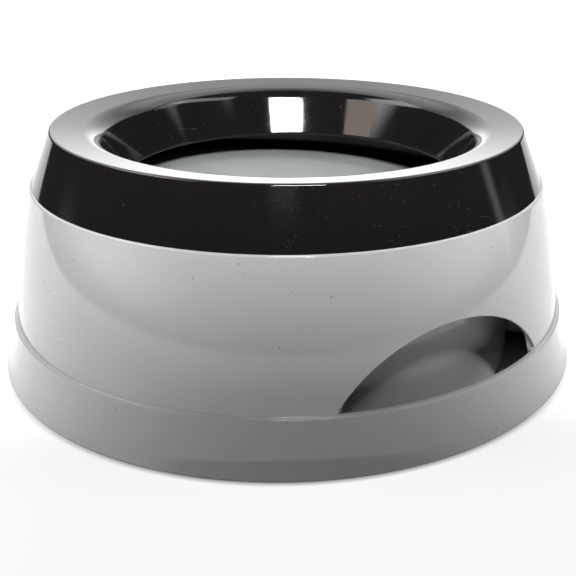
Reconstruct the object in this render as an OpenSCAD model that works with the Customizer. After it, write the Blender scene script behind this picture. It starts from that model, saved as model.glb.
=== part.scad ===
// Travel water bowl that doesn't spill: a double-walled base, a twist-on ring lid and a
// floating plate that covers the water under the mouth of the lid.
// Origin: centre of the underside. The finger grips lie on the X axis.

/* [Base outside] */
// Diameter of the flared foot where it stands
base_d = 270; // [256:1:290]
// Diameter of the foot at its top edge
foot_top_d = 259.8; // [258.6:0.2:264]
// Height of the ledge on top of the foot
ledge_h = 23.2; // [16:0.2:28]
// Radius of the hollow curve of the foot, seen from the side
foot_flare_r = 98; // [60:1:300]
// Diameter of the body where it rises from the ledge
body_d = 255.2; // [250:0.2:257]
// Diameter of the body at the shoulder
shoulder_d = 232.4; // [230:0.2:240]
// Height of the shoulder that the lid sits on
shoulder_h = 82.2; // [74:0.2:90]
// Radius of the bulge of the body, seen from the side
body_bulge_r = 390; // [200:5:900]
// Wall thickness of the base
wall = 2.6; // [1.8:0.1:3.2]

/* [Reservoir] */
// Draft of the reservoir wall, in degrees
draft = 0.5; // [0.2:0.1:0.6]
// Height of the neck above the shoulder
neck_h = 8.3; // [7.6:0.1:10]
// Fillet between the floor and the wall
floor_fillet = 5; // [2:0.5:8]
// Width of the ring that the reservoir stands on
stand_ring_w = 3; // [2:0.5:6]

/* [Finger grips] */
// Width of each grip opening along the ledge
grip_w = 101.2; // [70:0.2:110]
// Height of each grip opening
grip_h = 28.2; // [20:0.2:34]
// Radius of the two lower corners of a grip opening
grip_corner_r = 1; // [0.6:0.1:5]

/* [Stiffening ribs] */
// Ribs between the two walls, on each side of the base
ribs_per_side = 5; // [3:1:7]
// Angle from the middle of a grip to the nearest rib
rib_from = 45; // [36:1:60]
// Thickness of a rib
rib_t = 1.8; // [1.2:0.1:2.6]
// Height of a rib's lower edge above the ground
rib_foot_gap = 9; // [4:1:16]

/* [Lid] */
// Step from the edge of the shoulder in to the lid's lower edge
lid_step = 0.8; // [0.2:0.1:1.6]
// Diameter of the lid at its top edge
lid_top_d = 211.4; // [209:0.2:213]
// Height of the lid above the shoulder
lid_h = 23.4; // [21:0.2:27]
// Wall thickness of the lid
lid_wall = 2.2; // [2:0.1:3]
// Fall of the top face towards the mouth, in degrees
top_slope = 9; // [4:0.5:13]
// Width of the top face, from the lid's edge to where it starts to roll over
top_w = 13.7; // [11.7:0.1:15.7]
// Radius of the roll
roll_r = 10; // [6:0.5:12]
// Steepness of the funnel, in degrees
funnel_slope = 62.5; // [58:0.5:66]
// Width of the roll and the funnel, seen from above
funnel_w = 16.5; // [13:0.5:20]
// Rounding of the lid's top edge
lid_edge_r = 1.2; // [0.6:0.2:2]
// Reach of the splash skirt below the shoulder
skirt_drop = 21; // [12:1:26]
// Wall thickness of the splash skirt
skirt_wall = 2.1; // [1.6:0.1:2.6]

/* [Twist lock] */
// Number of locking lugs around the neck
lug_count = 6; // [4:1:8]
// Angle that the roof of a lug covers
lug_angle = 27; // [24:1:30]
// Angle of the stop at the end of a lug
stop_angle = 3; // [2:0.5:4]
// Angle that a tab of the lid covers
tab_angle = 22; // [14:1:24]
// Height of a lug, and of a tab
lug_h = 2.6; // [2:0.1:3]
// Reach of a lug beyond the neck
lug_reach = 2.4; // [2:0.1:3]

/* [Float] */
// Thickness of the plate
float_wall = 2.2; // [1.6:0.1:2.8]
// Depth of the plate's turned-down rim
float_rim_h = 9; // [6:0.5:12]
// Rounding of the plate's upper edge
float_edge_r = 3; // [2:0.5:5]
// Number of ribs under the plate
float_ribs = 8; // [4:1:12]
// Diameter of the ring that the ribs meet at
float_hub_d = 36; // [20:1:60]
// Depth of the plate's face below the shoulder as it lies now
float_drop = 13.9; // [12.2:0.1:20.2]
// Tilt of the loose plate as it lies now, in degrees
float_tilt = 2.8; // [0:0.2:4]
// Direction of the plate's high side, in degrees
float_high_side = 240; // [0:5:355]

/* [Grip pads] */
// Length of a pad
pad_l = 60; // [40:1:70]
// Width of a pad
pad_w = 20; // [12:1:30]
// Thickness of a pad
pad_t = 1.8; // [1.2:0.1:2.4]
// Corner radius of a pad
pad_corner_r = 4; // [2:0.5:6]
// Distance of a pad's middle from the centre of the base
pad_place_r = 70; // [45:1:72]

/* [Fits] */
// Gap between a lug and the inside of the lid's outer wall
lug_gap = 0.8; // [0.6:0.1:3]
// Gap between the splash skirt and the reservoir wall
skirt_fit = 0.6; // [0.4:0.1:1]
// Gap between a tab and the neck
tab_fit = 0.5; // [0.4:0.1:0.8]
// Gap between a tab and the lug above it
lug_fit = 0.3; // [0.2:0.05:0.5]
// Angle of play between a tab and its stop
stop_play = 0.4; // [0.3:0.1:0.8]
// Gap all round between the plate, when it is level and centred, and the splash skirt
float_play = 4.3; // [2.3:0.1:7]
// Gap left where the high side of the plate leans on the splash skirt
float_fit = 0.3; // [0.2:0.05:0.8]

/* [Hidden] */
$fn = 180;

// Steps along a long curve and around a small rounding
long_steps = 16;
round_steps = 6;
// Hook-tape pads, one for each quarter of the floor
pad_count = 4;
// Depth by which a joined feature reaches into the wall that carries it
root = 0.8;
// Rounding of the shoulder, of the ledge and of the neck's rim
shoulder_edge_r = 1;
ledge_edge_r = 0.8;
neck_edge_r = 0.9;
// Step from the neck's rounding down to the top of a lug
lug_step = 0.3;

floor_top = pad_t + wall;
neck_top = shoulder_h + neck_h;
lug_top = neck_top - neck_edge_r - lug_step;
lug_floor = lug_top - lug_h;
lug_pitch = 360 / lug_count;
lid_top = shoulder_h + lid_h;
lid_low_d = shoulder_d - 2 * lid_step;
lean = atan((lid_low_d - lid_top_d) / 2 / lid_h);
roll_d = lid_top_d - 2 * top_w;
mouth_d = roll_d - 2 * funnel_w;

// Middle of a circle of radius r through two points, to the left of the way from p to q
function arc_centre(p, q, r) =
    let (way = q - p, half = norm(way) / 2)
    (p + q) / 2 + sqrt(r * r - half * half) * [-way.y, way.x] / norm(way);

// Points along a circle
function arc(centre, r, from, to, steps) =
    [for (i = [0:steps]) let (a = from + (to - from) * i / steps) centre + r * [cos(a), sin(a)]];

// Rounding of a corner whose two faces look towards the angles from and to
function round_corner(corner, r, from, to) =
    let (faces = [cos(from) + cos(to), sin(from) + sin(to)])
    arc(corner - r * faces / (1 + cos(to - from)), r, from, to, round_steps);

// Evenly spaced heights between two levels
function levels(low, high) = [for (i = [0:long_steps]) low + (high - low) * i / long_steps];

body_c = arc_centre([body_d / 2, ledge_h], [shoulder_d / 2, shoulder_h], body_bulge_r);
foot_c = arc_centre([foot_top_d / 2, ledge_h], [base_d / 2, 0], foot_flare_r);

// Radius of the body, the foot, the reservoir and the lid's outer wall at height z,
// each with the depth below its outer face
function body_r(z, depth = 0) = body_c.x + sqrt(pow(body_bulge_r - depth, 2) - pow(z - body_c.y, 2));
function foot_r(z, depth = 0) = foot_c.x - sqrt(pow(foot_flare_r + depth, 2) - pow(z - foot_c.y, 2));
function reservoir_r(z, depth = 0) = neck_r - (neck_top - z) * tan(draft) - depth;
function lid_r(z, depth = 0) = lid_low_d / 2 - (z - shoulder_h) * tan(lean) - depth / cos(lean);

// Circle of a grip's top: its radius, its centre's height above the sill, and how far from
// the middle its two lower corners are centred
cap_r = (pow(grip_w / 2, 2) + pow(grip_h, 2)) / (2 * grip_h);
cap_c = grip_h - cap_r;
corner_x = sqrt(pow(cap_r - grip_corner_r, 2) - pow(grip_corner_r - cap_c, 2));

// The neck carries the lugs, so it stands clear of the lid. The reservoir wall runs up into it.
neck_r = lid_r(lug_top, lid_wall) - lug_gap - lug_reach;
stand_ring_r = reservoir_r(0) - stand_ring_w;
skirt_low = shoulder_h - skirt_drop;
skirt_r = reservoir_r(skirt_low, wall) - skirt_fit;
float_d = 2 * (skirt_r - skirt_wall - float_play);
float_rest_h = shoulder_h - float_drop;

// How far the tilted plate reaches on its high side, and how far it has slid that way
float_reach = float_d / 2 * cos(float_tilt) + float_rim_h * sin(float_tilt);
float_shift = skirt_r - skirt_wall - float_fit - float_reach;

// Half section of the base: floor, stand ring, hollow between the walls, foot, body, neck, reservoir
module base_section() {
    hollow_top = shoulder_h - wall;
    ledge_under = ledge_h - wall;
    ledge_face = atan2(foot_c.y - ledge_h, foot_c.x - foot_top_d / 2);
    shoulder_face = asin((shoulder_h - body_c.y) / body_bulge_r);
    polygon(concat(
        [[0, pad_t], [stand_ring_r, pad_t], [stand_ring_r, 0], [reservoir_r(0), 0]],
        [[reservoir_r(hollow_top), hollow_top]],
        [for (z = levels(hollow_top, ledge_under)) [body_r(z, wall), z]],
        [for (z = levels(ledge_under, 0)) [foot_r(z, wall), z]],
        [for (z = levels(0, ledge_h - ledge_edge_r)) [foot_r(z), z]],
        round_corner([foot_top_d / 2, ledge_h], ledge_edge_r, ledge_face, 90),
        [for (z = levels(ledge_h, shoulder_h - shoulder_edge_r)) [body_r(z), z]],
        round_corner([shoulder_d / 2, shoulder_h], shoulder_edge_r, shoulder_face, 90),
        [[neck_r, shoulder_h]],
        round_corner([neck_r, neck_top], neck_edge_r, 0, 90),
        round_corner([reservoir_r(neck_top, wall), neck_top], neck_edge_r, 90, 180),
        arc([reservoir_r(floor_top + floor_fillet, wall) - floor_fillet, floor_top + floor_fillet],
            floor_fillet, 0, -90, round_steps),
        [[0, floor_top]]
    ));
}

// Outline of a grip: the cap of a circle on a straight sill, its two lower corners rounded
module grip_outline() {
    corner_face = atan2(grip_corner_r - cap_c, corner_x);
    polygon(concat(
        arc([corner_x, grip_corner_r], grip_corner_r, -90, corner_face, round_steps),
        arc([0, cap_c], cap_r, corner_face, 180 - corner_face, 2 * long_steps),
        arc([-corner_x, grip_corner_r], grip_corner_r, 180 - corner_face, 270, round_steps)
    ));
}

// Cutter that opens the body, but not the reservoir, on the side towards +X. Behind the
// sill it goes through the ledge too, so only the top of the foot's wall is left there.
module grip_cut() {
    cut_from = (reservoir_r(ledge_h) + body_r(ledge_h, wall)) / 2;
    translate([cut_from, 0, ledge_h])
        rotate([90, 0, 90])
            linear_extrude(base_d / 2 - cut_from)
                grip_outline();
    translate([0, 0, ledge_h - wall - root])
        linear_extrude(wall + 2 * root)
            intersection() {
                circle(foot_r(ledge_h, wall));
                translate([cut_from, -corner_x])
                    square([base_d / 2 - cut_from, 2 * corner_x]);
            }
}

// Rib in the hollow, its outer edge in the body wall and its inner edge in the reservoir wall
module rib() {
    low = rib_foot_gap;
    high = shoulder_h - wall + root;
    ledge_under = ledge_h - wall;
    rotate([90, 0, 0])
        translate([0, 0, -rib_t / 2])
            linear_extrude(rib_t)
                polygon(concat(
                    [[reservoir_r(low, root), low], [foot_r(low, wall - root), low]],
                    [[foot_r(ledge_under, wall - root), ledge_under + root]],
                    [[body_r(ledge_under, wall - root), ledge_under + root]],
                    [for (z = levels(ledge_h, high)) [body_r(z, wall - root), z]],
                    [[reservoir_r(high, root), high]]
                ));
}

module ribs() {
    rib_step = (180 - 2 * rib_from) / (ribs_per_side - 1);
    for (side = [0, 180], i = [0:ribs_per_side - 1])
        rotate(side + rib_from + i * rib_step)
            rib();
}

// Lug of the twist lock: a roof over the tab, and a stop at its closed end
module lug() {
    stop_from = -tab_angle / 2 - stop_play - stop_angle;
    rotate(stop_from)
        rotate_extrude(angle = lug_angle + stop_angle)
            translate([neck_r - root, lug_floor])
                square([lug_reach + root, lug_h]);
    rotate(stop_from)
        rotate_extrude(angle = stop_angle)
            translate([neck_r - root, shoulder_h - root])
                square([lug_reach + root, lug_floor - shoulder_h + 2 * root]);
}

module base_bowl() {
    color("lightgray")
        union() {
            difference() {
                rotate_extrude()
                    base_section();
                for (side = [0, 180])
                    rotate(side)
                        grip_cut();
            }
            ribs();
            for (i = [0:lug_count - 1])
                rotate(i * lug_pitch)
                    lug();
        }
}

// Half section of the lid: outer wall, top face, roll, funnel, lip, hollow, splash skirt
module lid_section() {
    fall = [-sin(top_slope), cos(top_slope)];
    roll_c = [roll_d / 2, lid_top - (lid_top_d - roll_d) / 2 * tan(top_slope)] - roll_r * fall;
    steep = [-sin(funnel_slope), cos(funnel_slope)];
    funnel_top = roll_c + roll_r * steep;
    mouth = [mouth_d / 2, funnel_top.y - (funnel_top.x - mouth_d / 2) * tan(funnel_slope)];
    polygon(concat(
        [[lid_r(shoulder_h), shoulder_h]],
        round_corner([lid_top_d / 2, lid_top], lid_edge_r, lean, 90 + top_slope),
        arc(roll_c, roll_r, 90 + top_slope, 90 + funnel_slope, long_steps),
        arc(mouth - lid_wall / 2 * steep, lid_wall / 2, 90 + funnel_slope, 270 + funnel_slope, round_steps),
        arc(roll_c, roll_r - lid_wall, 90 + funnel_slope, 90 + top_slope, long_steps),
        [[skirt_r - skirt_wall, lid_underside(skirt_r - skirt_wall)]],
        [[skirt_r - skirt_wall, skirt_low], [skirt_r, skirt_low]],
        [[skirt_r, lid_underside(skirt_r)]],
        [lid_inner_corner()],
        [[lid_r(shoulder_h, lid_wall), shoulder_h]]
    ));
}

// Height of the underside of the lid's top face at radius r
function lid_underside(r) = lid_top - (lid_top_d / 2 - r) * tan(top_slope) - lid_wall / cos(top_slope);

// Point where the inside of the outer wall meets the underside of the top face
function lid_inner_corner() =
    let (faces = [cos(lean) - sin(top_slope), sin(lean) + cos(top_slope)])
    [lid_top_d / 2, lid_top] - lid_wall * faces / (1 + cos(90 + top_slope - lean));

// Tab inside the lid's outer wall, which turns in under a lug
module tab() {
    tab_top = lug_floor - lug_fit;
    tab_low = tab_top - lug_h;
    rotate(-tab_angle / 2)
        rotate_extrude(angle = tab_angle)
            polygon([
                [neck_r + tab_fit, tab_low],
                [lid_r(tab_low, lid_wall - root), tab_low],
                [lid_r(tab_top, lid_wall - root), tab_top],
                [neck_r + tab_fit, tab_top]
            ]);
}

module lid_ring() {
    color("#1c1b1d")
        union() {
            rotate_extrude()
                lid_section();
            for (i = [0:lug_count - 1])
                rotate(i * lug_pitch)
                    tab();
        }
}

// Half section of the float: plate with a rounded edge and a turned-down rim
module float_section() {
    inner_r = float_d / 2 - float_wall;
    polygon(concat(
        [[0, -float_wall], [inner_r - float_edge_r, -float_wall]],
        arc([inner_r - float_edge_r, -float_wall - float_edge_r], float_edge_r, 90, 0, round_steps),
        [[inner_r, -float_rim_h], [float_d / 2, -float_rim_h]],
        arc([float_d / 2 - float_edge_r - float_wall, -float_edge_r - float_wall],
            float_edge_r + float_wall, 0, 90, round_steps),
        [[0, 0]]
    ));
}

// Rib under the float, from the hub ring to the rim
module float_rib() {
    rib_h = float_rim_h - float_wall;
    translate([float_hub_d / 2 - root, -rib_t / 2, root - float_rim_h])
        cube([float_d / 2 - float_wall + root - float_hub_d / 2 + root, rib_t, rib_h]);
}

module float_hub() {
    translate([0, 0, root - float_rim_h])
        difference() {
            cylinder(h = float_rim_h - float_wall, d = float_hub_d);
            translate([0, 0, -root])
                cylinder(h = float_rim_h, d = float_hub_d - 2 * float_wall);
        }
}

module float_plate() {
    color("#b4b8b8")
        rotate(float_high_side)
            translate([float_shift, 0, float_rest_h])
                rotate([0, -float_tilt, 0])
                    union() {
                        rotate_extrude()
                            float_section();
                        float_hub();
                        for (i = [0:float_ribs - 1])
                            rotate(i * 360 / float_ribs)
                                float_rib();
                    }
}

// Pad number i, stuck to the underside of the floor inside the stand ring
module grip_pad(i) {
    color("#303030")
        rotate(45 + (i - 1) * 360 / pad_count)
            translate([pad_place_r, 0, 0])
                linear_extrude(pad_t)
                    pad_outline();
}

module pad_outline() {
    square([pad_w - 2 * pad_corner_r, pad_l], center = true);
    square([pad_w, pad_l - 2 * pad_corner_r], center = true);
    for (x = [-1, 1], y = [-1, 1])
        translate([x * (pad_w / 2 - pad_corner_r), y * (pad_l / 2 - pad_corner_r)])
            circle(pad_corner_r);
}

base_bowl();
lid_ring();
float_plate();
grip_pad(1);  // grip_pad_1
grip_pad(2);  // grip_pad_2
grip_pad(3);  // grip_pad_3
grip_pad(4);  // grip_pad_4
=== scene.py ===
import random
from math import asin, atan, atan2, cos, degrees, hypot, pi, radians, sin, sqrt, tan

import bmesh
import bpy
from mathutils import Matrix, Vector


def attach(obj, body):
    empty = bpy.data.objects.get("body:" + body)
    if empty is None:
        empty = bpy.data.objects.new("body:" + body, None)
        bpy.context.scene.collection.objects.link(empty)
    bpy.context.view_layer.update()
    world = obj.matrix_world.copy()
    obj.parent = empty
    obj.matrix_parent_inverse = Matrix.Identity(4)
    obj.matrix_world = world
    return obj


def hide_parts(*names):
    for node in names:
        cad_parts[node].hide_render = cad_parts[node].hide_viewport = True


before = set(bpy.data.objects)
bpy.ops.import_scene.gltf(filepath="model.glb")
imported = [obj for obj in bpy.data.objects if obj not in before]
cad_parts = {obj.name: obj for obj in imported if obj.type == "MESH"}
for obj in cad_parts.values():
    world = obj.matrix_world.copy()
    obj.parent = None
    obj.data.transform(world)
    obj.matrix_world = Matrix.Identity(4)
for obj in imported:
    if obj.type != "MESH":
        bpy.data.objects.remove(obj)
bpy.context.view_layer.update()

mm = 0.001
scene = bpy.context.scene
print("frame loaded, nodes:", ", ".join(sorted(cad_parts)))


# Camera, set so that the rings of the model lie on those of the photograph. The studio is laid out
# from the camera's side and turned with it, so that the bowl keeps its grips on the X axis.
view = {
    "turn": 59.8,          # degrees from the model's -Y side to the camera's side
    "distance": 468.2,     # mm from the middle of the underside
    "elevation": 25.16,    # degrees above the floor
    "pitch": 22.76,        # degrees down
    "yaw": 5.1,            # degrees to the right
    "roll": 1.19,
    "lens": 57.93,         # mm on a 36 mm sensor
    "shiftX": -0.1415,
}
studioTurn = Matrix.Rotation(radians(view["turn"]), 4, "Z")


def seenFrom(azimuth, elevation, distance):
    # a point around the bowl in metres; azimuth 0 is the camera's side, positive to its right
    a, e = radians(azimuth), radians(elevation)
    return studioTurn @ (Vector((sin(a) * cos(e), -cos(a) * cos(e), sin(e))) * distance)


pitch, yaw, roll = (radians(view[key]) for key in ("pitch", "yaw", "roll"))
forward = Vector((sin(yaw) * cos(pitch), cos(yaw) * cos(pitch), -sin(pitch)))
right = Vector((cos(yaw), -sin(yaw), 0))
up = right.cross(forward)
right, up = cos(roll) * right + sin(roll) * up, cos(roll) * up - sin(roll) * right
camera = bpy.data.objects.new("camera", bpy.data.cameras.new("camera"))
camera.data.lens = view["lens"]
camera.data.sensor_width = 36
camera.data.shift_x = view["shiftX"]
axes = studioTurn.to_3x3() @ Matrix((right, up, -forward)).transposed()
camera.matrix_world = Matrix.Translation(seenFrom(0, view["elevation"], view["distance"] * mm)) @ axes.to_4x4()
scene.collection.objects.link(camera)
scene.camera = camera
print("camera placed")


# Geometry helpers. Profiles are lists of (radius, height) in mm, outer face first.
def arcCentre(p, q, r):
    # middle of a circle of radius r through two points, to the left of the way from p to q
    way = Vector(q) - Vector(p)
    half = way.length / 2
    return (Vector(p) + Vector(q)) / 2 + sqrt(r * r - half * half) * Vector((-way.y, way.x)) / way.length


def arc(centre, r, start, end, steps):
    angles = [radians(start + (end - start) * i / steps) for i in range(steps + 1)]
    return [(centre[0] + r * cos(a), centre[1] + r * sin(a)) for a in angles]


def roundCorner(corner, r, start, end, steps=6):
    # rounding of a corner whose two faces look towards the angles start and end
    a, b = radians(start), radians(end)
    inset = r / (1 + cos(b - a))
    centre = (corner[0] - inset * (cos(a) + cos(b)), corner[1] - inset * (sin(a) + sin(b)))
    return arc(centre, r, start, end, steps)


def levels(low, high, steps=24):
    return [low + (high - low) * i / steps for i in range(steps + 1)]


def held(profile):
    # extra points close to the ends of long straight parts, so that their shading stays straight
    longFrom, endGap = 4, 0.12     # mm
    points = []
    for i, p in enumerate(profile):
        way = Vector(profile[(i + 1) % len(profile)]) - Vector(p)
        points.append(tuple(p))
        if way.length > longFrom:
            points += [tuple(Vector(p) + way.normalized() * d) for d in (endGap, way.length - endGap)]
    return points


def revolve(bm, profile, steps=360, start=0.0, sweep=360.0):
    # turns a closed profile about Z; points on the axis become one vertex
    whole = sweep >= 360
    profile = held(profile) if whole else profile
    poles = {i: bm.verts.new((0, 0, z * mm)) for i, (r, z) in enumerate(profile) if r < 1e-6}
    rings = []
    for k in range(steps if whole else steps + 1):
        a = radians(start + sweep * k / steps)
        rings.append([poles.get(i) or bm.verts.new((r * cos(a) * mm, r * sin(a) * mm, z * mm))
                      for i, (r, z) in enumerate(profile)])
    for k in range(steps):
        one, two = rings[k], rings[(k + 1) % len(rings)]
        for i in range(len(profile)):
            j = (i + 1) % len(profile)
            corners = list(dict.fromkeys((one[i], two[i], two[j], one[j])))
            if len(corners) > 2:
                bm.faces.new(corners)
    if not whole:
        bm.faces.new(rings[0])
        bm.faces.new(reversed(rings[-1]))


def prism(bm, outline, place):
    # closed slab between two copies of an outline; place(x, y, side) gives the point for side 0 and 1
    ends = [[bm.verts.new(place(x, y, side)) for x, y in outline] for side in (0, 1)]
    bm.faces.new(ends[0])
    bm.faces.new(reversed(ends[1]))
    for i in range(len(outline)):
        j = (i + 1) % len(outline)
        bm.faces.new((ends[0][i], ends[1][i], ends[1][j], ends[0][j]))


def stitch(bm, rings):
    # closed solid through rings of vertices, with a face over each end
    count = len(rings[0])
    for one, two in zip(rings, rings[1:]):
        for k in range(count):
            bm.faces.new((one[k], one[(k + 1) % count], two[(k + 1) % count], two[k]))
    bm.faces.new(rings[0])
    bm.faces.new(reversed(rings[-1]))


def makeObject(name, bm, sharpAngle=30):
    # smooth shading, with edges sharper than the given angle kept crisp
    bmesh.ops.recalc_face_normals(bm, faces=bm.faces)
    for face in bm.faces:
        face.smooth = True
    for edge in bm.edges:
        edge.smooth = len(edge.link_faces) == 2 and edge.calc_face_angle(0) < radians(sharpAngle)
    mesh = bpy.data.meshes.new(name)
    bm.to_mesh(mesh)
    bm.free()
    obj = bpy.data.objects.new(name, mesh)
    scene.collection.objects.link(obj)
    return obj


# Base: one double-walled moulding. Lengths in these dictionaries are in mm, angles in degrees.
bowl = {
    "baseD": 270, "footTopD": 258.6, "ledgeH": 23.2, "footFlareR": 98,       # flared foot and its ledge
    "bodyD": 255.2, "shoulderD": 232.4, "shoulderH": 82.2, "bodyBulgeR": 390,
    "wall": 2.6, "draft": 0.5, "neckH": 8.3, "floorFillet": 5, "standRingW": 3, "floorLift": 1.8,
    "shoulderEdgeR": 1.0, "ledgeEdgeR": 0.8, "neckEdgeR": 0.9,
    "gripW": 101.2, "gripH": 28.2, "gripCornerR": 1,                           # finger grips
    "ribsPerSide": 5, "ribFrom": 45, "ribT": 1.8, "ribFootGap": 9, "root": 0.8,
}
lid = {
    "step": 0.8, "topD": 211.4, "height": 23.4, "wall": 2.2, "topSlope": 7.3, "topW": 13.7,
    "rollR": 10, "funnelSlope": 62.5, "funnelW": 16.5, "edgeR": 1.2, "skirtDrop": 21, "skirtWall": 2.1,
    "skirtFit": 0.6,
}
lock = {
    "count": 6, "lugAngle": 27, "stopAngle": 3, "tabAngle": 22, "height": 2.6, "reach": 2.4,
    "lugStep": 0.3, "tabFit": 0.5, "lugFit": 0.3, "stopPlay": 0.4, "lugGap": 0.8,
}
plate = {
    "play": 4.3, "wall": 2.2, "rimH": 9, "edgeR": 3, "ribs": 8, "hubD": 36, "drop": 13.9,
    "tilt": 2.8, "highSide": 240, "lean": 0.3,
}

wall = bowl["wall"]
floorTop = bowl["floorLift"] + wall
neckTop = bowl["shoulderH"] + bowl["neckH"]
lugTop = neckTop - bowl["neckEdgeR"] - lock["lugStep"]
lugFloor = lugTop - lock["height"]
lidTop = bowl["shoulderH"] + lid["height"]
lidLowR = bowl["shoulderD"] / 2 - lid["step"]
lidLean = atan((lidLowR - lid["topD"] / 2) / lid["height"])
bodyFoot, bodyHead = (bowl["bodyD"] / 2, bowl["ledgeH"]), (bowl["shoulderD"] / 2, bowl["shoulderH"])
bodyC = arcCentre(bodyFoot, bodyHead, bowl["bodyBulgeR"])
footC = arcCentre((bowl["footTopD"] / 2, bowl["ledgeH"]), (bowl["baseD"] / 2, 0), bowl["footFlareR"])


def bodyR(z, depth=0):
    return bodyC.x + sqrt((bowl["bodyBulgeR"] - depth) ** 2 - (z - bodyC.y) ** 2)


def footR(z, depth=0):
    return footC.x - sqrt((bowl["footFlareR"] + depth) ** 2 - (z - footC.y) ** 2)


def lidR(z, depth=0):
    return lidLowR - (z - bowl["shoulderH"]) * tan(lidLean) - depth / cos(lidLean)


neckR = lidR(lugTop, lid["wall"]) - lock["lugGap"] - lock["reach"]


def reservoirR(z, depth=0):
    return neckR - (neckTop - z) * tan(radians(bowl["draft"])) - depth


def baseProfile():
    hollowTop = bowl["shoulderH"] - wall
    ledgeUnder = bowl["ledgeH"] - wall
    standRingR = reservoirR(0) - bowl["standRingW"]
    ledgeFace = degrees(atan2(footC.y - bowl["ledgeH"], footC.x - bowl["footTopD"] / 2))
    shoulderFace = degrees(asin((bowl["shoulderH"] - bodyC.y) / bowl["bodyBulgeR"]))
    filletH = floorTop + bowl["floorFillet"]
    filletC = (reservoirR(filletH, wall) - bowl["floorFillet"], filletH)
    return (
        [(0, bowl["floorLift"]), (standRingR, bowl["floorLift"]), (standRingR, 0), (reservoirR(0), 0)]
        + [(reservoirR(hollowTop), hollowTop)]
        + [(bodyR(z, wall), z) for z in levels(hollowTop, ledgeUnder)]
        + [(footR(z, wall), z) for z in levels(ledgeUnder, 0)]
        + [(footR(z), z) for z in levels(0, bowl["ledgeH"] - bowl["ledgeEdgeR"])]
        + roundCorner((bowl["footTopD"] / 2, bowl["ledgeH"]), bowl["ledgeEdgeR"], ledgeFace, 90)
        + [(bodyR(z), z) for z in levels(bowl["ledgeH"], bowl["shoulderH"] - bowl["shoulderEdgeR"])]
        + roundCorner((bowl["shoulderD"] / 2, bowl["shoulderH"]), bowl["shoulderEdgeR"], shoulderFace, 90)
        + [(neckR, bowl["shoulderH"])]
        + roundCorner((neckR, neckTop), bowl["neckEdgeR"], 0, 90)
        + roundCorner((reservoirR(neckTop, wall), neckTop), bowl["neckEdgeR"], 90, 180)
        + arc(filletC, bowl["floorFillet"], 0, -90, steps=8)
        + [(0, floorTop)]
    )


capR = ((bowl["gripW"] / 2) ** 2 + bowl["gripH"] ** 2) / (2 * bowl["gripH"])
capC = bowl["gripH"] - capR
cornerX = sqrt((capR - bowl["gripCornerR"]) ** 2 - (bowl["gripCornerR"] - capC) ** 2)


def gripOutline():
    # cap of a circle on a straight sill, the two lower corners rounded
    face = degrees(atan2(bowl["gripCornerR"] - capC, cornerX))
    return (
        arc((cornerX, bowl["gripCornerR"]), bowl["gripCornerR"], -90, face, steps=8)
        + arc((0, capC), capR, face, 180 - face, steps=64)[1:-1]
        + arc((-cornerX, bowl["gripCornerR"]), bowl["gripCornerR"], 180 - face, 270, steps=8)
    )


def cutters():
    # the openings through the skin, and those behind the sills through the ledge
    cutFrom = (reservoirR(bowl["ledgeH"]) + bodyR(bowl["ledgeH"], wall)) / 2
    skin, ledge = bmesh.new(), bmesh.new()
    insideR = footR(bowl["ledgeH"], wall)
    reach = degrees(asin(cornerX / insideR))
    behind = [(cutFrom, -cornerX)] + arc((0, 0), insideR, -reach, reach, steps=48) + [(cutFrom, cornerX)]
    for side in (1, -1):
        prism(skin, gripOutline(), lambda x, y, end: Vector((
            side * (cutFrom, bowl["baseD"] / 2)[end], side * x, bowl["ledgeH"] + y)) * mm)
        low, high = bowl["ledgeH"] - wall - bowl["root"], bowl["ledgeH"] + bowl["root"]
        prism(ledge, behind, lambda x, y, end: Vector((side * x, side * y, (low, high)[end])) * mm)
    return [makeObject("gripCutter", skin), makeObject("ledgeCutter", ledge)]


def cutAway(obj, tools):
    # boolean difference, applied; the cutters are removed
    for tool in tools:
        modifier = obj.modifiers.new("cut", "BOOLEAN")
        modifier.object = tool
        modifier.solver = "EXACT"
    bpy.context.view_layer.update()
    result = bmesh.new()
    result.from_mesh(obj.evaluated_get(bpy.context.evaluated_depsgraph_get()).to_mesh())
    for part in [obj] + tools:
        bpy.data.objects.remove(part)
    return result


def addRibs(bm):
    low, high, root = bowl["ribFootGap"], bowl["shoulderH"] - wall + bowl["root"], bowl["root"]
    under = bowl["ledgeH"] - wall
    side = (
        [(reservoirR(low, root), low), (footR(low, wall - root), low)]
        + [(footR(under, wall - root), under + root), (bodyR(under, wall - root), under + root)]
        + [(bodyR(z, wall - root), z) for z in levels(bowl["ledgeH"], high, steps=16)]
        + [(reservoirR(high, root), high)]
    )
    step = (180 - 2 * bowl["ribFrom"]) / (bowl["ribsPerSide"] - 1)
    for half in (0, 180):
        for i in range(bowl["ribsPerSide"]):
            turned = Matrix.Rotation(radians(half + bowl["ribFrom"] + i * step), 3, "Z")
            prism(bm, side, lambda r, z, end: turned @ (Vector((r, (end - 0.5) * bowl["ribT"], z)) * mm))


def addLugs(bm):
    root, reach = bowl["root"], lock["reach"]
    start = -lock["tabAngle"] / 2 - lock["stopPlay"] - lock["stopAngle"]
    inner, outer = neckR - root, neckR + reach
    roof = [(inner, lugFloor), (outer, lugFloor), (outer, lugTop), (inner, lugTop)]
    stop = [(inner, bowl["shoulderH"] - root), (outer, bowl["shoulderH"] - root)]
    stop += [(outer, lugFloor + root), (inner, lugFloor + root)]
    for i in range(lock["count"]):
        turn = i * 360 / lock["count"] + start
        revolve(bm, roof, steps=30, start=turn, sweep=lock["lugAngle"] + lock["stopAngle"])
        revolve(bm, stop, steps=3, start=turn, sweep=lock["stopAngle"])


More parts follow.
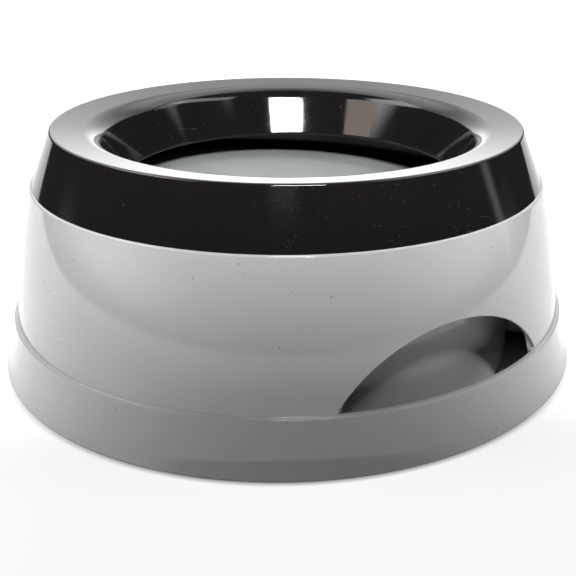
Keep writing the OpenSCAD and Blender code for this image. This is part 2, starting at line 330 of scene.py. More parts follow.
shell = bmesh.new()
revolve(shell, baseProfile())
base = cutAway(makeObject("baseShell", shell), cutters())
addRibs(base)
addLugs(base)
doubleWallBase = makeObject("doubleWallBase", base)
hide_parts("base_bowl")
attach(doubleWallBase, "base")
print("base made:", len(doubleWallBase.data.polygons), "faces")


# Lid: outer wall, sloping top, roll, funnel and lip, with the splash skirt and the lock's tabs inside
skirtLow = bowl["shoulderH"] - lid["skirtDrop"]
skirtR = reservoirR(skirtLow, wall) - lid["skirtFit"]


def lidUnder(r):
    slope = radians(lid["topSlope"])
    return lidTop - (lid["topD"] / 2 - r) * tan(slope) - lid["wall"] / cos(slope)


def lidProfile():
    slope, steepness, lean = radians(lid["topSlope"]), radians(lid["funnelSlope"]), lidLean
    topR = lid["topD"] / 2
    rollAt = topR - lid["topW"]
    mouthR = rollAt - lid["funnelW"]
    rollC = Vector((rollAt, lidTop - lid["topW"] * tan(slope)))
    rollC -= lid["rollR"] * Vector((-sin(slope), cos(slope)))
    steep = Vector((-sin(steepness), cos(steepness)))
    funnelTop = rollC + lid["rollR"] * steep
    mouth = Vector((mouthR, funnelTop.y - (funnelTop.x - mouthR) * tan(steepness)))
    inset = lid["wall"] / (1 + cos(radians(90) + slope - lean))
    innerCorner = (topR - inset * (cos(lean) - sin(slope)), lidTop - inset * (sin(lean) + cos(slope)))
    topFace, funnelFace, skirtInner = 90 + lid["topSlope"], 90 + lid["funnelSlope"], skirtR - lid["skirtWall"]
    return (
        [(lidR(bowl["shoulderH"]), bowl["shoulderH"])]
        + roundCorner((topR, lidTop), lid["edgeR"], degrees(lean), topFace, steps=8)
        + arc(rollC, lid["rollR"], topFace, funnelFace, steps=24)
        + arc(mouth - lid["wall"] / 2 * steep, lid["wall"] / 2, funnelFace, funnelFace + 180, steps=12)
        + arc(rollC, lid["rollR"] - lid["wall"], funnelFace, topFace, steps=24)
        + [(skirtInner, lidUnder(skirtInner)), (skirtInner, skirtLow)]
        + [(skirtR, skirtLow), (skirtR, lidUnder(skirtR)), innerCorner]
        + [(lidR(bowl["shoulderH"], lid["wall"]), bowl["shoulderH"])]
    )


ring = bmesh.new()
revolve(ring, lidProfile())
tabTop = lugFloor - lock["lugFit"]
tabLow = tabTop - lock["height"]
tabInner = neckR + lock["tabFit"]
tabBack = lid["wall"] - bowl["root"]
tab = [(tabInner, tabLow), (lidR(tabLow, tabBack), tabLow), (lidR(tabTop, tabBack), tabTop), (tabInner, tabTop)]
for i in range(lock["count"]):
    turn = i * 360 / lock["count"] - lock["tabAngle"] / 2
    revolve(ring, tab, steps=22, start=turn, sweep=lock["tabAngle"])
ringLid = makeObject("ringLid", ring)
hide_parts("lid_ring")
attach(ringLid, "lid")
print("lid made:", len(ringLid.data.polygons), "faces")


# Floating plate, tilted and slid against the skirt as it lies in the photograph
plateR = skirtR - lid["skirtWall"] - plate["play"]


def plateProfile():
    rim, edge, t = plate["rimH"], plate["edgeR"], plate["wall"]
    inner = plateR - t
    return (
        [(0, -t)] + [(inner - edge, -t)]
        + arc((inner - edge, -t - edge), edge, 90, 0, steps=8)[1:]
        + [(inner, -rim), (plateR, -rim)]
        + arc((plateR - edge - t, -edge - t), edge + t, 0, 90, steps=12)
        + [(0, 0)]
    )


disc = bmesh.new()
revolve(disc, plateProfile())
hubR, root = plate["hubD"] / 2, bowl["root"]
ribLow, ribHigh = root - plate["rimH"], root - plate["wall"]
hub = [(hubR - plate["wall"], ribLow), (hubR, ribLow), (hubR, ribHigh), (hubR - plate["wall"], ribHigh)]
revolve(disc, hub, steps=96)
for i in range(plate["ribs"]):
    turned = Matrix.Rotation(2 * pi * i / plate["ribs"], 3, "Z")
    span = [(hubR - root, ribLow), (plateR - plate["wall"] + root, ribLow)]
    span += [(plateR - plate["wall"] + root, ribHigh), (hubR - root, ribHigh)]
    prism(disc, span, lambda r, z, end: turned @ (Vector((r, (end - 0.5) * bowl["ribT"], z)) * mm))
tilt = radians(plate["tilt"])
reach = plateR * cos(tilt) + plate["rimH"] * sin(tilt)
slide = skirtR - lid["skirtWall"] - plate["lean"] - reach
lies = (
    Matrix.Rotation(radians(plate["highSide"]), 4, "Z")
    @ Matrix.Translation(Vector((slide, 0, bowl["shoulderH"] - plate["drop"])) * mm)
    @ Matrix.Rotation(-tilt, 4, "Y")
)
bmesh.ops.transform(disc, matrix=lies, verts=disc.verts)
floatingPlate = makeObject("floatingPlate", disc)
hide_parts("float_plate")
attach(floatingPlate, "float")
print("float made:", len(floatingPlate.data.polygons), "faces")


# Hook tape under the floor: a woven backing with rows of small curled hooks that point down
tape = {
    "length": 60, "width": 20, "thick": 1.8, "cornerR": 4, "placeR": 70, "firstAt": 45, "count": 4,
    "backing": 0.65, "edgeR": 0.2, "edgeBend": 0.3,      # mm, and the share of the radius at the bend's middle
    "rowPitch": 1.7, "rowShift": 0.28, "hookPitch": 1.9, "margin": 1.0, "lean": 14,
    # a hook's path: along, height and radius
    "hook": [(0, 1.4, 0.12), (0, 0.8, 0.12), (0.05, 0.42, 0.115), (0.17, 0.17, 0.11),
             (0.34, 0.12, 0.1), (0.5, 0.2, 0.09), (0.57, 0.36, 0.07)],
}


def tapeOutline(inset):
    halfW, halfL, r = (whole - inset for whole in (tape["width"] / 2, tape["length"] / 2, tape["cornerR"]))
    return [point for sx, sy, start in ((1, 1, 0), (-1, 1, 90), (-1, -1, 180), (1, -1, 270))
            for point in arc((sx * (halfW - r), sy * (halfL - r)), r, start, start + 90, steps=8)]


def addHook(bm, x, y, turn):
    # a four-sided strand swept along the hook's path
    along, side = Vector((cos(turn), sin(turn), 0)), Vector((-sin(turn), cos(turn), 0))
    path, rings = tape["hook"], []
    for i, (u, z, r) in enumerate(path):
        before, after = path[max(i - 1, 0)], path[min(i + 1, len(path) - 1)]
        way = Vector((after[0] - before[0], after[1] - before[1])).normalized()
        out = along * -way.y + Vector((0, 0, way.x))
        middle = Vector((x, y, z)) + along * u
        rings.append([bm.verts.new((middle + r * (cos(a) * out + sin(a) * side)) * mm)
                      for a in (0, pi / 2, pi, 3 * pi / 2)])
    stitch(bm, rings)


def hookPad(i):
    pad = bmesh.new()
    low, soft = tape["thick"] - tape["backing"], tape["edgeR"]
    bend = soft * tape["edgeBend"]
    layers = [(0, tape["thick"]), (0, low + soft), (bend, low + bend), (soft, low)]
    rings = [[pad.verts.new((x * mm, y * mm, z * mm)) for x, y in tapeOutline(inset)] for inset, z in layers]
    stitch(pad, rings)
    chance = random.Random(i)
    r = tape["cornerR"]
    columns = int((tape["width"] - 2 * tape["margin"]) / tape["rowPitch"])
    rows = int((tape["length"] - 2 * tape["margin"]) / tape["hookPitch"])
    for column in range(columns + 1):
        for row in range(rows + 1):
            x = (column - columns / 2) * tape["rowPitch"]
            y = (row - rows / 2) * tape["hookPitch"]
            corner = hypot(max(abs(x) - tape["width"] / 2 + r, 0), max(abs(y) - tape["length"] / 2 + r, 0))
            if corner > r - tape["margin"]:
                continue
            facing = 90 if column % 2 else -90
            y -= tape["rowShift"] if column % 2 else -tape["rowShift"]
            addHook(pad, x, y, radians(facing + chance.uniform(-tape["lean"], tape["lean"])))
    turned = Matrix.Rotation(radians(tape["firstAt"] + i * 360 / tape["count"]), 4, "Z")
    lies = turned @ Matrix.Translation((tape["placeR"] * mm, 0, 0))
    bmesh.ops.transform(pad, matrix=lies, verts=pad.verts)
    return makeObject("hookPad%d" % (i + 1), pad, sharpAngle=50)


hookPads = [hookPad(i) for i in range(tape["count"])]
for i, pad in enumerate(hookPads):
    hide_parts("grip_pad_%d" % (i + 1))
    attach(pad, "base")
print("hook pads made:", sum(len(pad.data.polygons) for pad in hookPads), "faces")


# Materials. Patterns use object coordinates in metres; size(mm) turns a real size into a texture scale.
def linear(code):
    # sRGB hex to the linear colour that Blender's sockets take
    parts = [int(code[i:i + 2], 16) / 255 for i in (1, 3, 5)]
    return [c / 12.92 if c <= 0.04045 else ((c + 0.055) / 1.055) ** 2.4 for c in parts] + [1]


def size(millimetres):
    return 1000 / millimetres


def addNode(tree, kind, inputs=None, **settings):
    # a node with its settings; an input is a value, or the output that it is linked to
    made = tree.nodes.new("ShaderNode" + kind)
    for key, value in settings.items():
        setattr(made, key, value)
    for key, value in (inputs or {}).items():
        if isinstance(value, bpy.types.NodeSocket):
            tree.links.new(value, made.inputs[key])
        else:
            made.inputs[key].default_value = value
    return made


def newMaterial(name):
    material = bpy.data.materials.new(name)
    material.use_nodes = True
    tree = material.node_tree
    tree.nodes.clear()
    return material, tree


def dress(obj, material):
    obj.data.materials.clear()
    obj.data.materials.append(material)


def mottle(tree, place, width, first, second, detail=3.0):
    # a slow drift between two tones, width mm across
    drift = addNode(tree, "TexNoise", {"Vector": place, "Scale": size(width), "Detail": detail})
    tone = addNode(tree, "Mix", {"Factor": drift.outputs["Fac"], "A": linear(first), "B": linear(second)},
                   data_type="RGBA")
    return tone.outputs["Result"]


def smears(tree, place, width, limits, window=(0.35, 0.7), mix=0.6):
    # a roughness that wanders between two limits; the window is the part of the noise that it follows
    wander = addNode(tree, "TexNoise", {"Vector": place, "Scale": size(width), "Detail": 4.0, "Roughness": mix})
    rough = addNode(tree, "MapRange", {
        "Value": wander.outputs["Fac"], "From Min": window[0], "From Max": window[1],
        "To Min": limits[0], "To Max": limits[1]})
    return rough.outputs[0]


def uneven(tree, place, width, depth, detail, under=None):
    # dents of a real width and depth in mm, laid over the shape that comes in
    dents = addNode(tree, "TexNoise", {"Vector": place, "Scale": size(width), "Detail": detail})
    bump = addNode(tree, "Bump", {"Height": dents.outputs["Fac"], "Distance": depth * mm, "Strength": 1.0})
    if under:
        tree.links.new(under, bump.inputs["Normal"])
    return bump.outputs[0]


def hairlines(tree, place, turn, length, width, share):
    # fine scratches in one direction: a noise drawn out along X, of which only the peaks are kept
    fadeIn = 0.03
    turned = addNode(tree, "Mapping", {"Vector": place, "Rotation": [radians(a) for a in turn]})
    drawn = addNode(tree, "Mapping", {"Vector": turned.outputs[0],
                                      "Scale": (size(length), size(width), size(width))})
    noise = addNode(tree, "TexNoise", {"Vector": drawn.outputs[0], "Scale": 1.0, "Detail": 1.0})
    peaks = addNode(tree, "MapRange", {"Value": noise.outputs["Fac"], "From Min": share,
                                       "From Max": share + fadeIn})
    return peaks.outputs[0]


def specks(tree, place, spacing, diameter, share):
    # scattered round specks with soft edges: one to a cell, in a share of the cells
    smallest, softFrom = 0.35, 0.5         # of the diameter, and of a speck's own radius
    radius = diameter / spacing / 2
    cells = addNode(tree, "TexVoronoi", {"Vector": place, "Scale": size(spacing)})
    chosen = addNode(tree, "SeparateColor", {"Color": cells.outputs["Color"]})
    small = addNode(tree, "MapRange", {"Value": chosen.outputs[1], "To Min": smallest * radius,
                                       "To Max": radius})
    away = addNode(tree, "Math", {0: cells.outputs["Distance"], 1: small.outputs[0]}, operation="DIVIDE")
    inside = addNode(tree, "MapRange", {"Value": away.outputs[0], "From Min": softFrom, "From Max": 1.0,
                                        "To Min": 1.0, "To Max": 0.0})
    kept = addNode(tree, "Math", {0: chosen.outputs[0], 1: share}, operation="LESS_THAN")
    return addNode(tree, "Math", {0: inside.outputs[0], 1: kept.outputs[0]}, operation="MULTIPLY").outputs[0]


def marked(tree, tone, marks):
    # lays marks over a tone, each given as (mask, strength, colour)
    for mask, strength, code in marks:
        share = addNode(tree, "Math", {0: mask, 1: strength}, operation="MULTIPLY")
        mixed = addNode(tree, "Mix", {"Factor": share.outputs[0], "A": tone, "B": linear(code)},
                        data_type="RGBA")
        tone = mixed.outputs["Result"]
    return tone


# Light grey polypropylene, injection moulded in a polished tool: an even, slightly waxy gloss that mirrors
# softly, with the faint unevenness of a shrunken wall, dust specks and the hairlines of use
greyFinish = {
    "colour": "#d0cfd0", "cooler": "#c8c9cb", "blotch": 38,              # mm across the change of tone
    "roughness": (0.035, 0.075), "smear": 24,                            # mm across a smear
    "sink": (17, 0.012), "grain": (0.35, 0.0012),                        # mm across and deep
    "edge": 0.7,                                                         # mm, softened edges of the grips
    "speckSpacing": 6, "speckD": 1.5, "speckShare": 0.4,                 # mm, and share of the cells with one
    "speck": "#85827c", "speckStrength": 0.6,
    "scratches": ((14, 30, 65), 44, 0.5, 0.735),                         # degrees, mm long and wide, threshold
    "rubs": ((-40, 12, -28), 30, 0.4, 0.74),
    "scratch": "#ececec", "scratchStrength": 0.4, "scratchRoughness": 0.22,
    # the painted shade along the ledge's corner: its colour, the heights it spans, the radius it starts at, and
    # the distances from the grips' middle over which it fades in
    "paintedLedgeShade": "#bebdbc", "paintedLedgeShadeFrom": 22.5, "paintedLedgeShadeTo": 23.6, "paintedLedgeShadeFade": 0.4,      # mm above the floor
    "paintedLedgeShadeR": 120, "paintedLedgeShadeEnds": (51, 75),                                 # mm, from this radius on, off the grips
}
greyPolypropylene, tree = newMaterial("greyPolypropylene")
place = addNode(tree, "TexCoord").outputs["Object"]

# painted shade in the corner of the ledge, where the body's wall stands over it; none on the sills of the grips
spot = addNode(tree, "SeparateXYZ", {0: place}).outputs
paintedLedgeShadeFrom, paintedLedgeShadeTo, paintedLedgeShadeFade = (greyFinish[key] * mm for key in ("paintedLedgeShadeFrom", "paintedLedgeShadeTo", "paintedLedgeShadeFade"))
above = addNode(tree, "MapRange", {"Value": spot["Z"], "From Min": paintedLedgeShadeFrom, "From Max": paintedLedgeShadeFrom + paintedLedgeShadeFade})
below = addNode(tree, "MapRange", {"Value": spot["Z"], "From Min": paintedLedgeShadeTo - paintedLedgeShadeFade, "From Max": paintedLedgeShadeTo,
                                   "To Min": 1.0, "To Max": 0.0})
away = addNode(tree, "VectorMath", {0: place}, operation="LENGTH")
outer = addNode(tree, "Math", {0: away.outputs["Value"], 1: greyFinish["paintedLedgeShadeR"] * mm}, operation="GREATER_THAN")
aside = addNode(tree, "Math", {0: spot["Y"]}, operation="ABSOLUTE")
aside = addNode(tree, "MapRange", {"Value": aside.outputs[0], "From Min": greyFinish["paintedLedgeShadeEnds"][0] * mm,
                                   "From Max": greyFinish["paintedLedgeShadeEnds"][1] * mm})
paintedLedgeShade = above.outputs[0]
for mask in (below, outer, aside):
    paintedLedgeShade = addNode(tree, "Math", {0: paintedLedgeShade, 1: mask.outputs[0]}, operation="MULTIPLY").outputs[0]

dust = specks(tree, place, greyFinish["speckSpacing"], greyFinish["speckD"], greyFinish["speckShare"])
lines = addNode(tree, "Math", {0: hairlines(tree, place, *greyFinish["scratches"]),
                               1: hairlines(tree, place, *greyFinish["rubs"])}, operation="MAXIMUM").outputs[0]
tone = marked(tree, mottle(tree, place, greyFinish["blotch"], greyFinish["colour"], greyFinish["cooler"]), [
    # painted shade in the ledge's corner, then real dust specks and hairlines
    (paintedLedgeShade, 1, greyFinish["paintedLedgeShade"]),
    (dust, greyFinish["speckStrength"], greyFinish["speck"]),
    (lines, greyFinish["scratchStrength"], greyFinish["scratch"]),
])
rough = smears(tree, place, greyFinish["smear"], greyFinish["roughness"])
rough = addNode(tree, "Math", {0: lines, 1: greyFinish["scratchRoughness"], 2: rough}, operation="MULTIPLY_ADD")
soft = addNode(tree, "Bevel", {"Radius": greyFinish["edge"] * mm}, samples=6)
sunken = uneven(tree, place, *greyFinish["sink"], 1.0, soft.outputs[0])
grained = uneven(tree, place, *greyFinish["grain"], 2.0, sunken)
shader = addNode(tree, "BsdfPrincipled", {"Base Color": tone, "Roughness": rough.outputs[0], "IOR": 1.49,
                                          "Normal": grained})
addNode(tree, "OutputMaterial", {"Surface": shader.outputs[0]})
dress(doubleWallBase, greyPolypropylene)

# Black ABS, injection moulded in a mirror-polished tool: deep black with sharp reflections that waver a
# little, a few pale dust specks and fine hairlines
blackFinish = {
    "colour": "#181618", "worn": "#1e1b1d", "blotch": 30,                # mm
    "roughness": (0.045, 0.1), "smear": 16,
    "wave": (9, 0.010), "grain": (0.3, 0.0006),                          # mm across and deep
    "speckSpacing": 6, "speckD": 1.1, "speckShare": 0.06, "speck": "#77746f", "speckRoughness": 0.4,
    "scratches": ((8, 4, 82), 34, 0.4, 0.74), "scratch": "#4a4848", "scratchRoughness": 0.25,
}
blackAbs, tree = newMaterial("blackAbs")
place = addNode(tree, "TexCoord").outputs["Object"]
dust = specks(tree, place, blackFinish["speckSpacing"], blackFinish["speckD"], blackFinish["speckShare"])
lines = hairlines(tree, place, *blackFinish["scratches"])
tone = marked(tree, mottle(tree, place, blackFinish["blotch"], blackFinish["colour"], blackFinish["worn"]), [
    (dust, 1, blackFinish["speck"]),
    (lines, 1, blackFinish["scratch"]),
])
rough = smears(tree, place, blackFinish["smear"], blackFinish["roughness"])
for mask, more in ((lines, blackFinish["scratchRoughness"]), (dust, blackFinish["speckRoughness"])):
    rough = addNode(tree, "Math", {0: mask, 1: more, 2: rough}, operation="MULTIPLY_ADD").outputs[0]
waved = uneven(tree, place, *blackFinish["wave"], 1.0)
grained = uneven(tree, place, *blackFinish["grain"], 2.0, waved)
shader = addNode(tree, "BsdfPrincipled", {"Base Color": tone, "Roughness": rough, "IOR": 1.53,
                                          "Normal": grained})
addNode(tree, "OutputMaterial", {"Surface": shader.outputs[0]})
dress(ringLid, blackAbs)

# Grey polypropylene from a finely blasted tool: satin, slightly translucent, with faint rings left by
# water that dried on it
satinFinish = {
    "colour": "#a3a8a7", "greener": "#9ca3a1", "blotch": 45,             # mm
    "roughness": (0.36, 0.5), "smear": 20, "grain": (0.18, 0.004),
    "ringSpacing": 19, "ringAt": 0.27, "ringWidth": 0.012,               # mm, and shares of the spacing
    "ring": "#d9dcda", "ringStrength": 0.1,
    "through": 12, "inner": 0.6,                     # mm that light travels inside, and its share
}
satinPolypropylene, tree = newMaterial("satinPolypropylene")
place = addNode(tree, "TexCoord").outputs["Object"]
drops = addNode(tree, "TexVoronoi", {"Vector": place, "Scale": size(satinFinish["ringSpacing"])})
rim = addNode(tree, "Math", {0: drops.outputs["Distance"], 1: satinFinish["ringAt"],
                             2: satinFinish["ringWidth"]}, operation="COMPARE")
tone = mottle(tree, place, satinFinish["blotch"], satinFinish["colour"], satinFinish["greener"], 4.0)
tone = marked(tree, tone, [(rim.outputs[0], satinFinish["ringStrength"], satinFinish["ring"])])
rough = smears(tree, place, satinFinish["smear"], satinFinish["roughness"], (0.3, 0.7), 0.5)
grained = uneven(tree, place, *satinFinish["grain"], 2.0)
shader = addNode(tree, "BsdfPrincipled", {
    "Base Color": tone, "Roughness": rough, "IOR": 1.49, "Specular IOR Level": 0.2, "Normal": grained,
    "Subsurface Weight": satinFinish["inner"], "Subsurface Radius": (1, 1, 1),
    "Subsurface Scale": satinFinish["through"] * mm})
addNode(tree, "OutputMaterial", {"Surface": shader.outputs[0]})
dress(floatingPlate, satinPolypropylene)

# Black nylon: matt woven backing, and hooks of thicker thread with a dull shine
nylonFinish = {"colour": "#17171a", "thread": "#26262a", "yarn": 0.45, "weaveDepth": 0.05}    # mm between yarns
blackNylon, tree = newMaterial("blackNylon")
place = addNode(tree, "TexCoord").outputs["Object"]
yarns = size(nylonFinish["yarn"]) * pi / 10      # a wave texture has 10 / pi bands to a unit at scale 1
warp, weft = (addNode(tree, "TexWave", {"Vector": place, "Scale": yarns}, bands_direction=way) for way in "XY")
weave = addNode(tree, "Math", {0: warp.outputs["Fac"], 1: weft.outputs["Fac"]}, operation="MULTIPLY")
tone = addNode(tree, "Mix", {"Factor": weave.outputs[0], "A": linear(nylonFinish["colour"]),
                             "B": linear(nylonFinish["thread"])}, data_type="RGBA")
woven = addNode(tree, "Bump", {"Height": weave.outputs[0], "Distance": nylonFinish["weaveDepth"] * mm,
                               "Strength": 1.0})
shader = addNode(tree, "BsdfPrincipled", {"Base Color": tone.outputs["Result"], "Roughness": 0.55, "IOR": 1.53,
                                          "Sheen Weight": 0.15, "Normal": woven.outputs[0]})
addNode(tree, "OutputMaterial", {"Surface": shader.outputs[0]})
for pad in hookPads:
    dress(pad, blackNylon)
print("materials made")


# Studio: a white table that ends near the bowl at the front, and a tent of soft cloth around it, dark
# in front and bright behind and above. Brightness 1 is the white of the picture.
studio = {
    # white of the table, and the colour of the bowl's shadow painted on it in front
    "table": "#f4f4f4", "paintedShadow": "#2c2c2c",
    "tableFront": 0.50,      # m, where the white table ends towards the camera
    "tableSide": [(0.6, 0.3), (1.8, 2.3)],                   # m, corners of its side, the same left and right
    "tableLift": 0.44,       # added to the table away from the bowl, for the camera and for reflections
    "liftFrom": (0.134, 0.138),                              # m, from the middle of the bowl
    "paintedShadowAt": (0.0, -0.19, 0.0), "paintedShadowR": (0.05, 0.19),    # m, painted shadow of the bowl: a darker patch of the table in front of it
    "paintedShadowLift": 0.93,       # lift of the painted shadow's patch, for the camera and for reflections
    "tentR": 3.0,            # m
    # the bright back begins at (elevation, degrees from the front), and has (elevation, brightness)
    "backEdge": [(5, 168), (12, 152), (20, 138), (32, 112)], "backFade": 4,
    "backLevel": [(-14, 2.6), (0, 3.0), (8, 2.3), (16, 1.45), (26, 1.1), (34, 0.95), (44, 2.2), (62, 2.4),
                  (73, 1.6), (84, 0.7), (90, 0.1)],
    "cloth": 0.02,           # of the dark cloth
    "diffuseShare": 0.65,    # of the cloth's brightness that lights matt surfaces
    "flag": (0.0248, 0.25, 0.35),   # m, card below the beam of the front softbox: edge, depth and half width
    "flagAt": 0.533,         # share of the way from the foot to that softbox
    "beamFoot": 0.01,        # m, height on the foot at which the beam is aimed
}
panels = {
    # soft bright areas of the tent, in degrees:
    # azimuth, elevation, width, height, fade of the sides, fade above and below; then the brightness
    "left": (-90, 46, 42, 19, 4, 5, 4.7),
    "right": (78, 49.5, 58, 13, 6, 3, 3.2),
    "rightBack": (100, 41, 18, 18, 4, 4, 1.8),
    "lowLeft": (-74, 2, 44, 9, 40, 6, 1.9),
    "lowRight": (74, 2, 44, 9, 40, 6, 1.5),
    "front": (-4, 35, 12, 9, 8, 10, 1.1),
    "streakRight": (99, 7, 4, 24, 4, 8, 0.9),
}
lamps = {
    # azimuth, elevation, distance m, width degrees, height degrees, brightness, colour, seen in reflections
    "frontSoftbox": (4, 48.3, 1.2, 18, 3.4, 140, "#ffffff", True),
    "sidePatch": (-59, 43.5, 1.2, 17, 12, 3.6, "#fff0e0", True),
    "leftFill": (-46, 5, 1.2, 36, 7, 2.6, "#ffffff", False),
    "rightFill": (46, 5, 1.2, 36, 7, 2.0, "#ffffff", False),
}
for name, (azimuth, elevation, distance, wide, high, brightness, colour, mirrored) in lamps.items():
    light = bpy.data.lights.new(name, "AREA")
    light.shape = "RECTANGLE"
    light.size = 2 * distance * tan(radians(wide / 2))
    light.size_y = 2 * distance * tan(radians(high / 2))
    light.energy = brightness * pi * light.size * light.size_y
    light.color = linear(colour)[:3]
    lamp = bpy.data.objects.new(name, light)
    at = seenFrom(azimuth, elevation, distance)
    lamp.matrix_world = Matrix.Translation(at) @ at.to_track_quat("Z", "Y").to_matrix().to_4x4()
    lamp.visible_camera = False
    lamp.visible_glossy = mirrored
    scene.collection.objects.link(lamp)


def stageMesh(name, points, faces, material, showsToCamera):
    mesh = bpy.data.meshes.new(name)
    mesh.from_pydata(points, [], faces)
    obj = bpy.data.objects.new(name, mesh)
    obj.matrix_world = studioTurn
    scene.collection.objects.link(obj)
    obj.visible_camera = showsToCamera
    dress(obj, material)
    return obj


def levelAt(tree, value, stops):
    # a level that follows the stops along a value
    low, high, most = stops[0][0], stops[-1][0], max(level for at, level in stops)
    along = addNode(tree, "MapRange", {"Value": value, "From Min": low, "From Max": high})
    ramp = addNode(tree, "ValToRGB", {"Fac": along.outputs[0]})
    for i, (at, level) in enumerate(stops):
        stop = ramp.color_ramp.elements[i] if i < 2 else ramp.color_ramp.elements.new(1)
        stop.position = (at - low) / (high - low)
        stop.color = [level / most] * 3 + [1]
    return addNode(tree, "Math", {0: ramp.outputs["Color"], 1: most}, operation="MULTIPLY").outputs[0]


def softBand(tree, value, middle, width, edge):
    # 1 in a band around the middle, with edges that fade to 0
    off = addNode(tree, "Math", {0: value, 1: middle}, operation="SUBTRACT")
    off = addNode(tree, "Math", {0: off.outputs[0]}, operation="ABSOLUTE")
    band = addNode(tree, "MapRange", {"Value": off.outputs[0], "From Min": (width - edge) / 2,
                                      "From Max": (width + edge) / 2, "To Min": 1.0, "To Max": 0.0},
                   interpolation_type="SMOOTHSTEP")
    return band.outputs[0]


whiteTable, tree = newMaterial("whiteTable")
seen = addNode(tree, "LightPath").outputs
place = addNode(tree, "TexCoord").outputs["Object"]
either = seen["Is Camera Ray"]
for ray in ("Is Glossy Ray", "Is Transmission Ray"):
    either = addNode(tree, "Math", {0: either, 1: seen[ray]}, operation="MAXIMUM").outputs[0]
away = addNode(tree, "VectorMath", {0: place}, operation="LENGTH")
outside = addNode(tree, "MapRange", {"Value": away.outputs["Value"], "From Min": studio["liftFrom"][0],
                                     "From Max": studio["liftFrom"][1]})
# painted shadow: the table's colour darkens in front of the bowl, where the bowl's shadow falls
paintedShadowMask = addNode(tree, "VectorMath", {0: place, 1: studio["paintedShadowAt"]}, operation="DISTANCE")
paintedShadowMask = addNode(tree, "MapRange", {"Value": paintedShadowMask.outputs["Value"], "From Min": studio["paintedShadowR"][0],
                                  "From Max": studio["paintedShadowR"][1], "To Min": 1.0, "To Max": 0.0},
               interpolation_type="SMOOTHSTEP").outputs[0]
lift = addNode(tree, "MapRange", {"Value": paintedShadowMask, "To Min": studio["tableLift"], "To Max": studio["paintedShadowLift"]})
lift = addNode(tree, "Math", {0: either, 1: lift.outputs[0]}, operation="MULTIPLY")
lift = addNode(tree, "Math", {0: lift.outputs[0], 1: outside.outputs[0]}, operation="MULTIPLY")
tone = addNode(tree, "Mix", {"Factor": paintedShadowMask, "A": linear(studio["table"]), "B": linear(studio["paintedShadow"])},
               data_type="RGBA")
matt = addNode(tree, "BsdfDiffuse", {"Color": tone.outputs["Result"]})
glow = addNode(tree, "Emission", {"Color": linear("#ffffff"), "Strength": lift.outputs[0]})
both = addNode(tree, "AddShader", {0: matt.outputs[0], 1: glow.outputs[0]})
addNode(tree, "OutputMaterial", {"Surface": both.outputs[0]})

softCloth, tree = newMaterial("softCloth")
towards = addNode(tree, "VectorMath", {0: addNode(tree, "TexCoord").outputs["Object"]}, operation="NORMALIZE")
axis = addNode(tree, "SeparateXYZ", {0: towards.outputs[0]}).outputs
back = addNode(tree, "Math", {0: axis["Y"], 1: -1}, operation="MULTIPLY")
azimuth = addNode(tree, "Math", {0: axis["X"], 1: back.outputs[0]}, operation="ARCTAN2")
azimuth = addNode(tree, "Math", {0: azimuth.outputs[0]}, operation="DEGREES").outputs[0]
height = addNode(tree, "Math", {0: axis["Z"]}, operation="ARCSINE")
height = addNode(tree, "Math", {0: height.outputs[0]}, operation="DEGREES").outputs[0]
aside = addNode(tree, "Math", {0: azimuth}, operation="ABSOLUTE")
beyond = addNode(tree, "Math", {0: aside.outputs[0], 1: levelAt(tree, height, studio["backEdge"])},
                 operation="SUBTRACT")
behind = addNode(tree, "MapRange", {"Value": beyond.outputs[0], "From Min": -studio["backFade"],
                                    "From Max": studio["backFade"]}, interpolation_type="SMOOTHSTEP")
total = addNode(tree, "Math", {0: behind.outputs[0], 1: levelAt(tree, height, studio["backLevel"]),
                               2: studio["cloth"]}, operation="MULTIPLY_ADD")
for atAzimuth, atHeight, wide, high, sideEdge, topEdge, brightness in panels.values():
    mask = addNode(tree, "Math", {0: softBand(tree, azimuth, atAzimuth, wide, sideEdge),
                                  1: softBand(tree, height, atHeight, high, topEdge)}, operation="MULTIPLY")
    total = addNode(tree, "Math", {0: mask.outputs[0], 1: brightness, 2: total.outputs[0]},
                    operation="MULTIPLY_ADD")
matt = addNode(tree, "LightPath").outputs["Is Diffuse Ray"]
share = addNode(tree, "MapRange", {"Value": matt, "To Min": 1.0, "To Max": studio["diffuseShare"]})
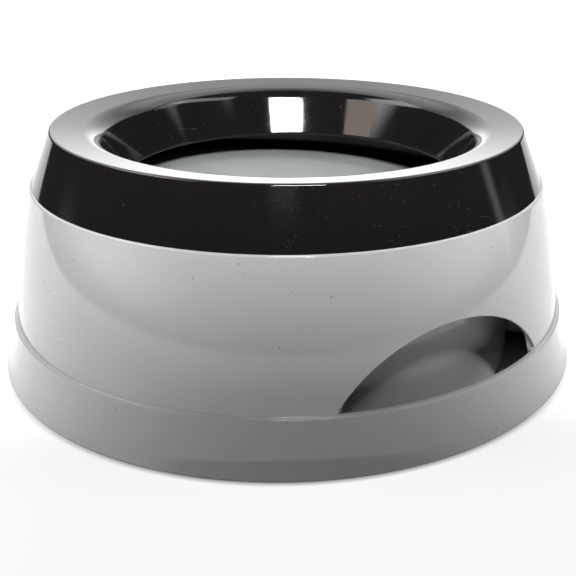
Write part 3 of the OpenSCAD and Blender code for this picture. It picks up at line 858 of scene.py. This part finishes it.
total = addNode(tree, "Math", {0: total.outputs[0], 1: share.outputs[0]}, operation="MULTIPLY")
glow = addNode(tree, "Emission", {"Color": linear("#ffffff"), "Strength": total.outputs[0]})
addNode(tree, "OutputMaterial", {"Surface": glow.outputs[0]})

front, side = studio["tableFront"], studio["tableSide"]
edge = [(front * sin(radians(a)), -front * cos(radians(a)), 0) for a in range(-90, 91, 3)]
edge += [(x, y, 0) for x, y in side] + [(-x, y, 0) for x, y in reversed(side)]
stageMesh("table", edge, [list(range(len(edge)))], whiteTable, True)

# A card keeps the softbox's light off the lower part of the front. It is seen by shadow rays alone.
rise, depth, halfW = studio["flag"]
foot = Vector((0, -bowl["baseD"] / 2 * mm, studio["beamFoot"]))
source = studioTurn.inverted() @ seenFrom(*lamps["frontSoftbox"][:3])
across = Vector((1, 0, 0))
upward = (source - foot).normalized().cross(across)
middle = foot + studio["flagAt"] * (source - foot)
corners = ((-halfW, rise), (halfW, rise), (halfW, rise - depth), (-halfW, rise - depth))
card = [middle + x * across + u * upward for x, u in corners]
flag = stageMesh("flag", card, [(0, 1, 2, 3)], whiteTable, False)
flag.visible_glossy = flag.visible_diffuse = flag.visible_transmission = False

tentR = studio["tentR"]
heights = [radians(a) for a in range(-90, 91, 6)]
around = [radians(a) for a in range(0, 360, 6)]
tent = [(tentR * sin(a) * cos(h), -tentR * cos(a) * cos(h), tentR * sin(h)) for h in heights for a in around]
count = len(around)
quads = [(k * count + i, k * count + (i + 1) % count, (k + 1) * count + (i + 1) % count, (k + 1) * count + i)
         for k in range(len(heights) - 1) for i in range(count)]
stageMesh("tent", tent, quads, softCloth, False)

# The world is the white behind the table. Only the camera sees it, because the tent hides it from the rest.
world = bpy.data.worlds.new("surround")
scene.world = world
world.use_nodes = True
tree = world.node_tree
tree.nodes.clear()
sky = addNode(tree, "Background", {"Color": linear("#ffffff"), "Strength": 1.0})
addNode(tree, "OutputWorld", {"Surface": sky.outputs[0]})
scene.view_settings.view_transform = "Standard"
print("studio lit")

bpy.context.view_layer.update()
